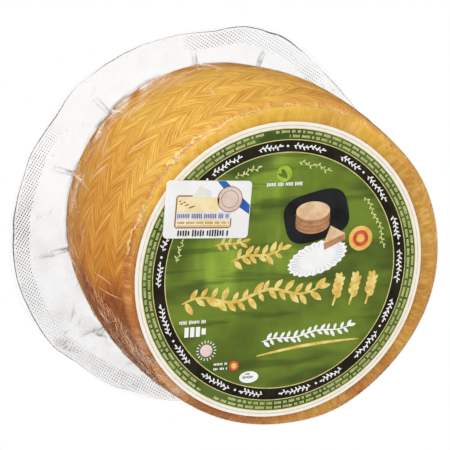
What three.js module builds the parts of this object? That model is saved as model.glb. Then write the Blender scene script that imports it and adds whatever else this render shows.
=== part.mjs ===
// A whole manchego cheese in its clear vacuum pack, lying on its back with the labelled face up.
// Millimetres, +Z up. The origin is on the wheel's axis, at the underside of the flat backing film.
// +X is the way the round label reads, and +Y is the label's up.
import * as THREE from "three";

// The wheel: a low barrel, widest half way up, with rounded shoulders.
const WHEEL_RADIUS = 60.1;
const WHEEL_BULGE = 3.0;
const WHEEL_HEIGHT = 78.4;
const SHOULDER = 3.5;

// The plaited mould's marks: bands round the flank, whose slanted ridges lean the other way in each
// next band. The ridges are drawn at twice their real pitch and a little deeper.
const BAND_HEIGHT = 9.75;
const FIRST_BAND_EDGE = 9.9;
const RIDGE_COUNT = 80;
const RIDGE_DEPTH = 0.45;
const RIDGE_SLANT = THREE.MathUtils.degToRad(42);

// The two webs of film. Neighbouring pieces stay a hair's breadth apart.
const GAP = 0.3;
const BACKING_THICKNESS = 0.5;
const FILM_THICKNESS = 0.3;
const FILM_FILLET = 1.6;
const FILM_COLUMNS = 72;
const FLAT_BACK_RADIUS = 59.5;

// How far the sealed flange reaches from the wheel's axis, by direction in degrees. It was trimmed
// off-centre, so one side is wider.
const FLANGE_REACH = [
  [10, 70.0],
  [50, 68.7],
  [72, 71.7],
  [98, 69.4],
  [117, 71.0],
  [140, 73.8],
  [150, 73.8],
  [178, 77.4],
  [206, 80.0],
  [229, 76.4],
  [241, 77.2],
  [263, 75.4],
  [295, 74.0],
  [330, 71.5],
];
const FLANGE_LIFT = 1.3;

// The paper pieces on the labelled face.
const LABEL_RADIUS = 52.4;
const LABEL_X = -2.4;
const LABEL_Y = -1.0;
const LABEL_SIDES = 96;
const PAPER_THICKNESS = 0.3;
const STICKER_LENGTH = 30.2;
const STICKER_WIDTH = 19.8;
const STICKER_CORNER = 1.4;
const STICKER_X = -30.4;
const STICKER_Y = 22.4;
const STICKER_TURN = THREE.MathUtils.degToRad(-2.5);

// Levels that follow from the sizes above.
const WHEEL_BOTTOM = BACKING_THICKNESS + GAP;
const WHEEL_TOP = WHEEL_BOTTOM + WHEEL_HEIGHT;
const FLANGE_UNDERSIDE = BACKING_THICKNESS + GAP;
const END_RADIUS = WHEEL_RADIUS - WHEEL_BULGE;
const FILM_CLEARANCE = RIDGE_DEPTH / 2 + GAP;
const FACE_FILM_TOP = WHEEL_TOP + GAP + FILM_THICKNESS;
const LABEL_BOTTOM = FACE_FILM_TOP + GAP;
const STICKER_BOTTOM = LABEL_BOTTOM + PAPER_THICKNESS + GAP;

const TURN = 2 * Math.PI;

// Radius of the barrel at a height.
function barrelRadius(z) {
  const fromMiddle = (2 * (z - WHEEL_BOTTOM)) / WHEEL_HEIGHT - 1;
  return WHEEL_RADIUS - WHEEL_BULGE * fromMiddle * fromMiddle;
}

// A closed surface from one point on the axis to another through rings of equally many points.
// The rings run anticlockwise seen from above, and rise where the surface faces outwards.
function loftBetweenPoles(firstPole, rings, lastPole) {
  const count = rings[0].length;
  const positions = [firstPole, ...rings.flat(), lastPole].flatMap((p) => [p.x, p.y, p.z]);
  const last = rings.length * count + 1;
  const at = (ring, column) => 1 + ring * count + (column % count);
  const index = [];
  for (let column = 0; column < count; column++) {
    index.push(0, at(0, column + 1), at(0, column));
    for (let ring = 0; ring + 1 < rings.length; ring++) {
      const a = at(ring, column);
      const b = at(ring, column + 1);
      const c = at(ring + 1, column + 1);
      const d = at(ring + 1, column);
      index.push(a, b, c, a, c, d);
    }
    index.push(last, at(rings.length - 1, column), at(rings.length - 1, column + 1));
  }
  const geometry = new THREE.BufferGeometry();
  geometry.setAttribute("position", new THREE.Float32BufferAttribute(positions, 3));
  geometry.setIndex(index);
  geometry.computeVertexNormals();
  return geometry;
}

// A ring of points whose radius and height may change with direction.
function ring(count, radius, height, twist = 0) {
  return Array.from({ length: count }, (_, column) => {
    const angle = (TURN * column) / count + twist;
    const r = radius(angle, column);
    return new THREE.Vector3(r * Math.cos(angle), r * Math.sin(angle), height(angle));
  });
}

function axisPoint(z) {
  return new THREE.Vector3(0, 0, z);
}

// How far round the ridges have leaned by a height: up one band they lean one way, up the next back.
function ridgeTwist(z) {
  const bands = (WHEEL_TOP - FIRST_BAND_EDGE - z) / BAND_HEIGHT;
  const fold = Math.abs(bands - 2 * Math.round(bands / 2));
  return (-fold * BAND_HEIGHT) / Math.tan(RIDGE_SLANT) / WHEEL_RADIUS;
}

// The rounded edge between a flat end and the flank, as radius and height pairs.
function shoulderPoints(endZ, flankZ, grow, steps) {
  const centreRadius = barrelRadius(flankZ) - SHOULDER;
  const points = [];
  for (let step = 0; step < steps; step++) {
    const angle = (Math.PI / 2) * (1 - step / steps);
    const reach = SHOULDER + grow;
    const up = Math.sign(endZ - flankZ) * reach * Math.sin(angle);
    points.push([centreRadius + reach * Math.cos(angle), flankZ + up]);
  }
  return points;
}

// The cheese: flat ends, rounded shoulders, and a herringbone of ridges round the barrel.
function cheeseWheelGeometry() {
  const columns = 2 * RIDGE_COUNT;
  const lowFlank = WHEEL_BOTTOM + SHOULDER;
  const highFlank = WHEEL_TOP - SHOULDER;
  const bandEdges = [];
  for (let z = WHEEL_TOP - FIRST_BAND_EDGE; z > lowFlank + 1; z -= BAND_HEIGHT) {
    bandEdges.unshift(z);
  }
  const plainRing = ([radius, z], twist) => ring(columns, () => radius, () => z, twist);
  const ridgedRing = (z, share) =>
    ring(
      columns,
      (_, column) => barrelRadius(z) + share * RIDGE_DEPTH * (column % 2 ? 0.5 : -0.5),
      () => z,
      ridgeTwist(z),
    );
  const rings = [
    ...shoulderPoints(WHEEL_BOTTOM, lowFlank, 0, 3).map((p) => plainRing(p, ridgeTwist(lowFlank))),
    ridgedRing(lowFlank, 0.6),
    ...bandEdges.map((z) => ridgedRing(z, 1)),
    ridgedRing(highFlank, 0.6),
    ...shoulderPoints(WHEEL_TOP, highFlank, 0, 3)
      .reverse()
      .map((p) => plainRing(p, ridgeTwist(highFlank))),
  ];
  return loftBetweenPoles(axisPoint(WHEEL_BOTTOM), rings, axisPoint(WHEEL_TOP));
}

// Reach of the flange in any direction: a smooth closed curve through the listed ones.
const flangeCurve = new THREE.CatmullRomCurve3(
  FLANGE_REACH.map(([degrees, reach]) => {
    const angle = THREE.MathUtils.degToRad(degrees);
    return new THREE.Vector3(reach * Math.cos(angle), reach * Math.sin(angle), 0);
  }),
  true,
  "centripetal",
);
const FLANGE_OUTLINE = flangeCurve
  .getPoints(40 * FLANGE_REACH.length)
  .map((p) => [(Math.atan2(p.y, p.x) + TURN) % TURN, Math.hypot(p.x, p.y)])
  .sort((a, b) => a[0] - b[0]);

function flangeReach(angle) {
  const wanted = ((angle % TURN) + TURN) % TURN;
  const after = FLANGE_OUTLINE.findIndex(([direction]) => direction >= wanted);
  return FLANGE_OUTLINE[after < 0 ? 0 : after][1];
}

// The flange is soft, so its rim rises a little off the surface in slow waves.
function flangeLift(angle, share) {
  const wave = 1 + 0.6 * Math.sin(3 * angle + 0.7) + 0.4 * Math.sin(5 * angle - 1.2);
  return FLANGE_LIFT * wave * share * share;
}

// A ring on the flange, some share of the way from the flat back's edge to the trimmed rim.
function flangeRing(share, level) {
  return ring(
    FILM_COLUMNS,
    (angle) => FLAT_BACK_RADIUS + share * (flangeReach(angle) - FLAT_BACK_RADIUS),
    (angle) => level + flangeLift(angle, share),
  );
}

// One side of the formed web, from the flange up over the flank to the edge of the face.
function skinRings(grow) {
  const lowFlank = WHEEL_BOTTOM + SHOULDER;
  const highFlank = WHEEL_TOP - SHOULDER;
  const outwards = FILM_CLEARANCE + grow;
  const faceGrow = GAP + grow;
  const flankSteps = 6;
  const profile = [[END_RADIUS + outwards + FILM_FILLET / 3, FLANGE_UNDERSIDE + grow + FILM_FILLET / 3]];
  for (let step = 0; step <= flankSteps; step++) {
    const z = lowFlank + ((highFlank - lowFlank) * step) / flankSteps;
    profile.push([barrelRadius(z) + outwards, z]);
  }
  for (const [radius, z] of shoulderPoints(WHEEL_TOP, highFlank, faceGrow, 3).reverse()) {
    profile.push([radius, z]);
  }
  return profile.map(([radius, z]) => ring(FILM_COLUMNS, () => radius, () => z));
}

// The formed web: a thin clear skin over the face and flank that spreads into the flange.
function filmCupGeometry() {
  const inner = [flangeRing(1, FLANGE_UNDERSIDE), flangeRing(0.5, FLANGE_UNDERSIDE)];
  inner.push(flangeRing(0, FLANGE_UNDERSIDE), ...skinRings(0));
  const top = FLANGE_UNDERSIDE + FILM_THICKNESS;
  const outer = [flangeRing(1, top), flangeRing(0.5, top), flangeRing(0, top)];
  outer.push(...skinRings(FILM_THICKNESS));
  return loftBetweenPoles(axisPoint(WHEEL_TOP + GAP), [...inner.reverse(), ...outer], axisPoint(FACE_FILM_TOP));
}

// The backing web: a flat sheet under the wheel, trimmed with the flange and lifting with it.
function filmBackingGeometry() {
  const rings = [flangeRing(0, 0), flangeRing(0.5, 0), flangeRing(1, 0)];
  for (const share of [1, 0.5, 0]) {
    rings.push(flangeRing(share, BACKING_THICKNESS));
  }
  return loftBetweenPoles(axisPoint(0), rings, axisPoint(BACKING_THICKNESS));
}

// The round printed label on the face.
function roundLabelGeometry() {
  const geometry = new THREE.CylinderGeometry(LABEL_RADIUS, LABEL_RADIUS, PAPER_THICKNESS, LABEL_SIDES);
  return geometry.rotateX(Math.PI / 2);
}

// The small control sticker, a rectangle with rounded corners.
function controlStickerGeometry() {
  const x = STICKER_LENGTH / 2;
  const y = STICKER_WIDTH / 2;
  const corner = STICKER_CORNER;
  const outline = new THREE.Shape();
  outline.moveTo(corner - x, -y);
  outline.lineTo(x - corner, -y);
  outline.absarc(x - corner, corner - y, corner, -Math.PI / 2, 0);
  outline.lineTo(x, y - corner);
  outline.absarc(x - corner, y - corner, corner, 0, Math.PI / 2);
  outline.lineTo(corner - x, y);
  outline.absarc(corner - x, y - corner, corner, Math.PI / 2, Math.PI);
  outline.lineTo(-x, corner - y);
  outline.absarc(corner - x, corner - y, corner, Math.PI, 1.5 * Math.PI);
  return new THREE.ExtrudeGeometry(outline, { depth: PAPER_THICKNESS, bevelEnabled: false, curveSegments: 5 });
}

const rind = new THREE.MeshStandardMaterial({ color: 0xdba146, roughness: 0.5, metalness: 0 });
const film = new THREE.MeshStandardMaterial({
  color: 0xf2f1ef,
  roughness: 0.12,
  metalness: 0,
  transparent: true,
  opacity: 0.3,
});
const greenPrint = new THREE.MeshStandardMaterial({ color: 0x65772d, roughness: 0.4, metalness: 0 });
const whiteCard = new THREE.MeshStandardMaterial({ color: 0xf2f3f3, roughness: 0.5, metalness: 0 });

const cheese = new THREE.Group();

function addPiece(parent, name, geometry, material) {
  const mesh = new THREE.Mesh(geometry, material);
  mesh.name = name;
  parent.add(mesh);
  return mesh;
}

addPiece(cheese, "cheese_wheel", cheeseWheelGeometry(), rind);

const pack = new THREE.Group();
addPiece(pack, "film_cup", filmCupGeometry(), film);
addPiece(pack, "film_backing", filmBackingGeometry(), film);
cheese.add(pack);

const papers = new THREE.Group();
const label = addPiece(papers, "round_label", roundLabelGeometry(), greenPrint);
label.position.set(LABEL_X, LABEL_Y, LABEL_BOTTOM + PAPER_THICKNESS / 2);
const sticker = addPiece(papers, "control_sticker", controlStickerGeometry(), whiteCard);
sticker.position.set(STICKER_X, STICKER_Y, STICKER_BOTTOM);
sticker.rotation.z = STICKER_TURN;
cheese.add(papers);

export default cheese;
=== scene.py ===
"""A whole cheese wheel in its clear vacuum pack: rind, film, seal, label and sticker, in a white studio."""

import math
from types import SimpleNamespace

import bpy
import numpy as np
from mathutils import Matrix, Vector
from mathutils.geometry import tessellate_polygon


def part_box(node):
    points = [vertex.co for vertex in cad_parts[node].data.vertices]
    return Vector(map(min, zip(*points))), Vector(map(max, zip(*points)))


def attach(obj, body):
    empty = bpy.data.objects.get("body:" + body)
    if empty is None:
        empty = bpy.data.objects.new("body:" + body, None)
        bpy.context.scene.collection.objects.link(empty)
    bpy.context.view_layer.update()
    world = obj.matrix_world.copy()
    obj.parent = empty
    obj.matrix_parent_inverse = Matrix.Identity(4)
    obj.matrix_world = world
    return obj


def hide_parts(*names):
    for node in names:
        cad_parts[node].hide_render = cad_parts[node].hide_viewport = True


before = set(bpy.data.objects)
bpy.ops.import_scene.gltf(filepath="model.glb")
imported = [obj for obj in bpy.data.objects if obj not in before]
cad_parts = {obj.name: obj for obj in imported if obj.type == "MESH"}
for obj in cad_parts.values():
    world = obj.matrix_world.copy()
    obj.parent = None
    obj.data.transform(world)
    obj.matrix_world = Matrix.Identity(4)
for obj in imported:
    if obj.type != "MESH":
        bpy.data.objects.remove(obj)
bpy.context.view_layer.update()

MM = 0.001
TURN = 2 * math.pi
WAVE_TERMS = 28

# The wheel, read from its solid. Lengths are millimetres until a mesh is made.
wheel_low, wheel_high = (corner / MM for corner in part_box("cheese_wheel"))
CAD_RIDGE = 0.45
WHEEL_BOTTOM = wheel_low.z
WHEEL_TOP = wheel_high.z
WHEEL_HEIGHT = WHEEL_TOP - WHEEL_BOTTOM
WHEEL_RADIUS = (wheel_high.x - wheel_low.x - CAD_RIDGE) / 2
WHEEL_BULGE = 3.0
SHOULDER = 3.5
HIGH_FLANK = WHEEL_TOP - SHOULDER
LOW_FLANK = WHEEL_BOTTOM + SHOULDER

# The plaited mould's marks at their real pitch.
BAND_HEIGHT = 9.75
FIRST_BAND_EDGE = 9.9
RIDGE_SLANT = math.radians(42)
RIDGES = 188
STEPS_PER_RIDGE = 5
RIDGE_DEPTH = 0.54
BANDS = 9

# The film. FACE_ROWS are radii on the wheel's end, and FLANGE_TOP is the flange's height beside the wheel.
FILM_OFFSET = 0.5
SNUG = 0.3
FILM_COLUMNS = 1080
FACE_ROWS = (24.0, 40.0, 49.0, 51.0, 52.4)
SHOULDER_ROWS = 10
FLANK_ROWS = 96
TUCK = math.radians(50)
TUCK_ROWS = 7
FLANGE_ROWS = 34
FLANGE_START = 57.0
PLEAT_FOOT = 59.5
FLANGE_TOP = 1.1
RIM_SAMPLES = 72
RIM_HARMONICS = 24

LABEL_X = -2.4
LABEL_Y = -1.0
label_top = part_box("round_label")[1].z / MM
sticker_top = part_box("control_sticker")[1].z / MM


def srgb(red, green, blue):
    """A linear colour with full alpha, from the 0 to 255 values that a screen shows."""
    shares = (c / 255 for c in (red, green, blue))
    return (*(s / 12.92 if s <= 0.04045 else ((s + 0.055) / 1.055) ** 2.4 for s in shares), 1.0)


def smoothstep(low, high, value):
    share = np.clip((value - low) / (high - low), 0, 1)
    return share * share * (3 - 2 * share)


def waves(angle, height, size, seed):
    """Smooth noise of about unit strength round the wheel, from sine waves with seeded directions."""
    rng = np.random.default_rng(seed)
    total = np.zeros(np.broadcast(angle, height).shape)
    for _ in range(WAVE_TERMS):
        around = round(rng.normal(0, WHEEL_RADIUS / size))
        up = rng.normal(0, 1 / size)
        total += np.cos(around * angle + up * height + rng.uniform(0, TURN))
    return total / math.sqrt(WAVE_TERMS / 2)


def bumps(angle, listed):
    """The sum of smooth bumps round a circle, each given by its degrees, spread and height."""
    total = 0.0
    for degrees, spread, size in listed:
        away = (np.degrees(angle) - degrees + 180) % 360 - 180
        total = total + size * np.exp(-((away / spread) ** 2))
    return total


def beside(start, along, up, way):
    """The place so far along and up from another. Way is the cosine and sine of the direction along."""
    cos, sin = way
    return start[0] + along * cos - up * sin, start[1] + along * sin + up * cos


def heading(turn):
    return math.cos(turn), math.sin(turn)


def round_place(centre, radius, angle):
    return centre[0] + radius * math.cos(angle), centre[1] + radius * math.sin(angle)


# Meshes


def build_mesh(name, points, faces, material, attributes=None, smooth=True):
    """A mesh object from points in millimetres, with one number a point for each attribute."""
    mesh = bpy.data.meshes.new(name)
    mesh.from_pydata((np.asarray(points, float) * MM).tolist(), [], faces)
    mesh.update()
    for key, values in (attributes or {}).items():
        layer = mesh.attributes.new(key, "FLOAT", "POINT")
        layer.data.foreach_set("value", np.asarray(values, np.float32).ravel())
    mesh.polygons.foreach_set("use_smooth", [smooth] * len(mesh.polygons))
    mesh.materials.append(material)
    piece = bpy.data.objects.new(name, mesh)
    bpy.context.scene.collection.objects.link(piece)
    return piece


def ring_faces(rows, columns, first_pole=None, last_pole=None):
    """Faces between rings that run anticlockwise from above and outwards or down, seen from outside."""
    row, column = np.meshgrid(np.arange(rows - 1), np.arange(columns), indexing="ij")
    after = (column + 1) % columns
    corners = [row * columns + column, (row + 1) * columns + column]
    corners += [(row + 1) * columns + after, row * columns + after]
    faces = np.stack(corners, -1).reshape(-1, 4).tolist()
    last = (rows - 1) * columns
    for c in range(columns):
        d = (c + 1) % columns
        if first_pole is not None:
            faces.append([first_pole, c, d])
        if last_pole is not None:
            faces.append([last_pole, last + d, last + c])
    return faces


def make_piece(name, points, faces, material, looks=None, nodes=(), smooth=True):
    """A piece that rides on the pack, with its finish and the nodes that it stands for."""
    piece = build_mesh(name, points, faces, material, looks, smooth)
    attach(piece, "root")
    if nodes:
        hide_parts(*nodes)


def dress(node, material):
    """Gives a piece that keeps its solid a material of its own."""
    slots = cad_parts[node].data.materials
    slots.clear()
    slots.append(material)


# Materials


class Nodes:
    """A node tree with short forms for adding to it."""

    def __init__(self, tree):
        self.tree = tree

    def put(self, target, value):
        if isinstance(value, bpy.types.NodeSocket):
            self.tree.links.new(value, target)
        else:
            target.default_value = value

    def add(self, kind, inputs=None, **settings):
        node = self.tree.nodes.new("ShaderNode" + kind)
        for key, value in settings.items():
            setattr(node, key, value)
        for key, value in (inputs or {}).items():
            self.put(node.inputs[key], value)
        return node

    def math(self, operation, first, second, clamp=False):
        inputs = {0: first, 1: second}
        return self.add("Math", inputs, operation=operation, use_clamp=clamp).outputs[0]

    def times(self, first, second):
        return self.math("MULTIPLY", first, second)


class Material(Nodes):
    """A material with short forms for textures, colours and shaders."""

    def __init__(self, name):
        self.made = bpy.data.materials.new(name)
        self.made.use_nodes = True
        super().__init__(self.made.node_tree)
        self.shader = self.tree.nodes["Principled BSDF"]

    def set(self, **inputs):
        for key, value in inputs.items():
            self.put(self.shader.inputs[key.replace("_", " ")], value)

    def noise(self, scale, detail=3.0, roughness=0.5, stretch=(1, 1, 1), at=None):
        if at is None:
            position = self.add("TexCoord").outputs["Object"]
            at = self.add("Mapping", {"Vector": position, "Scale": stretch}).outputs[0]
        inputs = {"Vector": at, "Scale": scale, "Detail": detail, "Roughness": roughness}
        return self.add("TexNoise", inputs).outputs["Fac"]

    def attribute(self, name):
        return self.add("Attribute", attribute_name=name).outputs["Fac"]

    def remap(self, value, low, high, to_low=0.0, to_high=1.0):
        inputs = {"Value": value, 1: low, 2: high, 3: to_low, 4: to_high}
        return self.add("MapRange", inputs, interpolation_type="SMOOTHSTEP").outputs[0]

    def mix(self, share, first, second):
        return self.add("Mix", {0: share, 6: first, 7: second}, data_type="RGBA").outputs[2]

    def bump(self, height, strength, distance):
        inputs = {"Height": height, "Strength": strength, "Distance": distance}
        return self.add("Bump", inputs).outputs[0]

    def glow(self, strength):
        return self.add("Emission", {"Color": (1, 1, 1, 1), "Strength": strength}).outputs[0]

    def clear(self):
        return self.add("BsdfTransparent", {"Color": (1, 1, 1, 1)}).outputs[0]

    def diffuse(self, colour, **inputs):
        return self.add("BsdfDiffuse", {"Color": colour, **inputs}).outputs[0]

    def glossy(self, roughness, **inputs):
        inputs = {"Color": (1, 1, 1, 1), "Roughness": roughness, **inputs}
        return self.add("BsdfGlossy", inputs).outputs[0]

    def blend(self, share, first, second):
        """A shader between two, by the second one's share."""
        return self.add("MixShader", {0: share, 1: first, 2: second}).outputs[0]

    def sheen(self, straight_on):
        """How much a film reflects, seen from either side: little straight on and more at a slant."""
        facing = self.add("LayerWeight", {"Blend": 0.5}).outputs["Facing"]
        return self.math("ADD", self.times(self.math("POWER", facing, 5.0), 0.22), straight_on)

    def show(self, shader):
        """The material with this shader as its surface, in place of the ready-made one."""
        self.put(self.tree.nodes["Material Output"].inputs["Surface"], shader)
        self.tree.nodes.remove(self.shader)
        return self.made


def rind_material():
    """Golden waxed rind: painted highlights on the ridge crests and painted shade in the grooves, warm
    patches, and a browner low side that is partly painted shade.
    """
    m = Material("rind")
    ridge, straw, amber, grain = (m.attribute(name) for name in ("ridge", "straw", "amber", "grain"))
    lay = m.add("CombineXYZ", {k: m.attribute(f"lay_{k.lower()}") for k in "XYZ"}).outputs[0]
    fibre = m.noise(1600.0, 3.0, 0.6, at=lay)
    mottle = m.noise(420.0, 4.0, 0.6, at=lay)
    patches = m.remap(m.noise(38, 4, 0.55), 0.32, 0.68)
    woven = m.remap(grain, 0.25, 1.0, 1.0, 0.6)

    def straw_tones(first, second, dull, bright):
        """A ground of two tones in patches, with duller straws and brighter ones that also paint glints."""
        tone = m.mix(patches, srgb(*first), srgb(*second))
        tone = m.mix(m.remap(straw, -2.0, 1.2), m.mix(0.45, tone, srgb(*dull)), tone)
        return m.mix(m.times(m.remap(straw, 0.7, 2.2), 0.4), tone, srgb(*bright))

    gold = straw_tones((221, 167, 55), (223, 177, 71), (206, 138, 28), (250, 212, 122))
    deep = straw_tones((198, 116, 8), (210, 132, 18), (164, 84, 6), (232, 172, 66))
    colour = m.mix(amber, gold, deep)

    def over(share, on_gold, on_amber):
        """The colour with some of another tone over it, which differs on gold and on amber."""
        return m.mix(share, colour, m.mix(amber, srgb(*on_gold), srgb(*on_amber)))

    # Painted shade in the grooves and painted highlights on the crests, dark and pale fibres, and the
    # brownest and palest stretches, which carry the rind tone's painted shade and painted light
    colour = over(m.times(m.remap(ridge, 0.6, 0.05), 0.48), (186, 118, 24), (142, 66, 4))
    colour = over(m.times(m.remap(ridge, 0.6, 1.0), 0.35), (246, 200, 92), (228, 156, 48))
    colour = over(m.times(m.remap(fibre, 0.49, 0.35, 0.0, 0.85), woven), (190, 122, 26), (150, 72, 6))
    colour = over(m.times(m.remap(fibre, 0.53, 0.66, 0.0, 0.65), woven), (252, 214, 108), (230, 162, 56))
    colour = m.mix(m.remap(amber, 0.85, 1.3, 0.0, 0.85), colour, srgb(140, 60, 12))
    colour = m.mix(m.remap(amber, 0.0, -0.6, 0.0, 0.75), colour, srgb(250, 198, 60))

    # Blotches and a pale bloom, mostly on the shoulders, and dark specks
    blotch, bloom = m.times(m.remap(mottle, 0.5, 0.34), grain), m.times(m.remap(mottle, 0.5, 0.64), grain)
    colour = over(m.times(blotch, 0.4), (214, 142, 44), (178, 104, 28))
    colour = over(m.times(bloom, 0.5), (252, 204, 118), (232, 166, 88))
    specks = m.remap(m.noise(620, 2, 0.5), 0.71, 0.75)
    colour = m.mix(m.times(specks, 0.6), colour, srgb(120, 66, 24))
    m.set(Base_Color=colour, Roughness=m.remap(m.noise(160, 2), 0.3, 0.7, 0.34, 0.52))
    m.set(Coat_Weight=0.1, Coat_Roughness=0.35, Specular_IOR_Level=0.3)
    pits = m.math("ADD", m.noise(900, 3, 0.6), m.times(m.noise(260, 2), 1.5))
    straws = m.times(m.times(fibre, woven), 2.5)
    m.set(Normal=m.bump(m.math("ADD", pits, straws), 0.5, 0.00016))
    return m.made


def film_material(name, tint, dark, gloss=0.14, mirror=0.045, grain=1000):
    """Clear film: a mirror sheen that grows at a slant, and a veil where it creases: a pale one that also
    paints the folds' glints, and a dark one of painted shade.
    """
    m = Material(name)
    ripple = m.bump(m.noise(240, 3), 0.25, 0.0002)
    uneven = m.remap(m.noise(grain, 3), 0.34, 0.66, 0.6, 1.4)
    haze = m.math("MULTIPLY", m.attribute("haze"), uneven, clamp=True)
    veil = m.diffuse(m.mix(m.attribute("shade"), srgb(*tint), srgb(*dark)), Normal=ripple)
    body = m.blend(haze, m.clear(), veil)
    return m.show(m.blend(m.sheen(mirror), body, m.glossy(gloss, Normal=ripple)))


def backing_material():
    """The flat backing web, almost wholly clear."""
    m = Material("clear_backing")
    haze = m.remap(m.noise(90, 3), 0.4, 0.8, 0.0, 0.03)
    body = m.blend(haze, m.clear(), m.diffuse(srgb(225, 225, 225)))
    return m.show(m.blend(m.sheen(0.02), body, m.glossy(0.12)))


def ink_material(name, first, second, scale):
    """Printed ink whose tone drifts slightly over the paper's grain."""
    m = Material(name)
    tone = m.remap(m.noise(scale, 3, 0.6), 0.35, 0.65)
    m.set(Base_Color=m.mix(tone, srgb(*first), srgb(*second)), Roughness=0.42)
    m.set(Coat_Weight=0.12, Coat_Roughness=0.25)
    m.set(Normal=m.bump(m.noise(1200, 2), 0.15, 0.00004))
    return m.made


# Pale pools in the label's field: place, reach of the full and of the last tone, and strength.
POOLS = [((-23, 3), 5, 17, 0.95), ((-8, 32), 6, 22, 0.7), ((-14, 18), 4, 17, 0.7), ((-2, 6), 3, 12, 0.6)]


def foliage_material():
    """The label's field: out-of-focus greens, limes and dark bands."""
    m = Material("print_field")
    streaks = m.remap(m.noise(30, 3, 0.5, (2.6, 0.7, 1)), 0.36, 0.66)
    clouds = m.remap(m.noise(40, 3, 0.55), 0.38, 0.64)
    colour = m.mix(clouds, srgb(90, 110, 26), srgb(118, 142, 36))
    position = m.add("TexCoord").outputs["Object"]
    for (x, y), near, far, strength in POOLS:
        middle = (x * MM, y * MM, label_top * MM)
        away = m.add("VectorMath", {0: position, 1: middle}, operation="DISTANCE").outputs["Value"]
        reach = m.remap(away, near * MM, far * MM, strength, 0.0)
        colour = m.mix(m.times(reach, streaks), colour, srgb(158, 190, 60))
    shade = m.remap(m.noise(34, 2, 0.5, (0.8, 2.4, 1)), 0.5, 0.72)
    colour = m.mix(m.times(shade, 0.75), colour, srgb(58, 74, 30))
    stems = m.remap(m.noise(60, 4, 0.6, (0.35, 3.2, 1)), 0.53, 0.66)
    colour = m.mix(m.times(stems, 0.5), colour, srgb(56, 74, 20))
    m.set(Base_Color=colour, Roughness=0.4, Coat_Weight=0.25, Coat_Roughness=0.2)
    m.set(Normal=m.bump(m.noise(1200, 2), 0.12, 0.00004))
    return m.made


# The cheese


def barrel(z):
    share = (2 * z - WHEEL_BOTTOM - WHEEL_TOP) / WHEEL_HEIGHT
    return WHEEL_RADIUS - WHEEL_BULGE * share * share


def shoulder_arc(flank_z, grow, way, steps):
    """Points round a shoulder, from the flat end (90 degrees) to the flank, without the last."""
    angles = math.pi / 2 * (1 - np.arange(steps) / steps)
    centre = barrel(flank_z) - SHOULDER
    reach = SHOULDER + grow
    return [(centre + reach * math.cos(a), flank_z + way * reach * math.sin(a)) for a in angles]


def slopes(profile):
    """Unit normals of a profile that runs from the face outwards, then down."""
    along = np.gradient(profile, axis=0)
    normal = np.stack([-along[:, 1], along[:, 0]], -1)
    return normal / np.linalg.norm(normal, axis=1, keepdims=True)


def unevenness(angle, z):
    """The hand-made wheel's slow hollows and swellings, in millimetres."""
    foot = smoothstep(LOW_FLANK - 3, LOW_FLANK + 8, z)
    ends = foot * (1 - smoothstep(HIGH_FLANK - 8, HIGH_FLANK + 3, z))
    return 0.16 * ends * waves(angle, z, 22, 3)


# Where the wheel's side is pressed flat or swells: degrees round, spread, and millimetres outwards.
WHEEL_SWELLS = [(49, 15, -1.25), (216, 12, -0.5), (292, 14, 0.8), (350, 21, 0.5)]


def out_of_round(angle, radius, z):
    """How far the wheel's side strays from an even barrel: flats, swellings and a drawn-in foot."""
    stray = bumps(angle, WHEEL_SWELLS) - 0.8 * smoothstep(36, 4, z)
    return stray * smoothstep(51, 55, radius)


def plait_waver(angle, z):
    """How far round the straws stray from their even lay."""
    return 0.006 * waves(angle, z, 7, 5)


def plait_twist(z):
    """How far round a ridge has leaned at a height."""
    bands = (WHEEL_TOP - FIRST_BAND_EDGE - np.clip(z, LOW_FLANK, HIGH_FLANK)) / BAND_HEIGHT
    fold = np.abs(bands - 2 * np.round(bands / 2))
    return -fold * BAND_HEIGHT / math.tan(RIDGE_SLANT) / WHEEL_RADIUS


# Where the ridges are worn down: degrees round, spread, and the share that is lost.
WORN_RIDGES = [(181, 24, 0.45), (98, 16, 0.3)]


class Plait:
    """The mould's ridges by direction and height: their wave, and each ridge's own strength and tint."""

    def __init__(self):
        rng = np.random.default_rng(11)
        self.phases = rng.uniform(0, 1, BANDS + 1)
        self.strengths = rng.uniform(0.3, 1.2, (BANDS + 1, RIDGES))
        self.tints = rng.normal(0, 1, (BANDS + 1, RIDGES))

    def at(self, ridge_turns, angle, z):
        """Relief, crest and tint at places given by ridges round, by direction and by height."""
        bands = (WHEEL_TOP - FIRST_BAND_EDGE - z) / BAND_HEIGHT
        band = np.clip(np.floor(bands).astype(int) + 1, 0, BANDS)
        within = bands - np.floor(bands)
        cell = ridge_turns + self.phases[band]
        number = np.floor(cell).astype(int) % RIDGES
        low_end = smoothstep(LOW_FLANK - 1, LOW_FLANK + 3, z)
        shown = low_end * (1 - 0.7 * smoothstep(HIGH_FLANK - 1, HIGH_FLANK + 1, z))
        shown = shown * smoothstep(WHEEL_TOP, WHEEL_TOP - 0.8, z)
        shown = shown * (0.3 + 0.7 * smoothstep(0, 0.13, np.minimum(within, 1 - within)))
        strength = self.strengths[band, number]
        worn = np.clip(0.8 + 0.35 * waves(angle, z, 9, 7), 0.15, 1.3)
        worn = worn * (1 - bumps(angle, WORN_RIDGES))
        wave = 2.0 * np.abs(np.cos(math.pi * cell)) ** 0.8 - 1.0
        relief = RIDGE_DEPTH / 2 * strength * worn * shown * wave
        relief = relief + shown * 0.1 * (np.sin(math.pi * within) - 0.5)
        crest = 0.5 + 0.5 * wave * shown * np.clip(strength * worn, 0, 1)
        return relief, crest, self.tints[band, number] * shown


PLAIT = Plait()

# Where a band's rows of points lie, closer together at its edges.
ROW_SHARES = (0, 0.05, 0.12, 0.22, 0.36, 0.5, 0.64, 0.78, 0.88, 0.95)


def band_rows():
    """Heights of the rows of points down the flank."""
    top_edge = WHEEL_TOP - FIRST_BAND_EDGE
    heights = [top_edge - BAND_HEIGHT * (band + share) for band in range(-1, BANDS) for share in ROW_SHARES]
    return [z for z in heights if LOW_FLANK < z < HIGH_FLANK]
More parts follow.
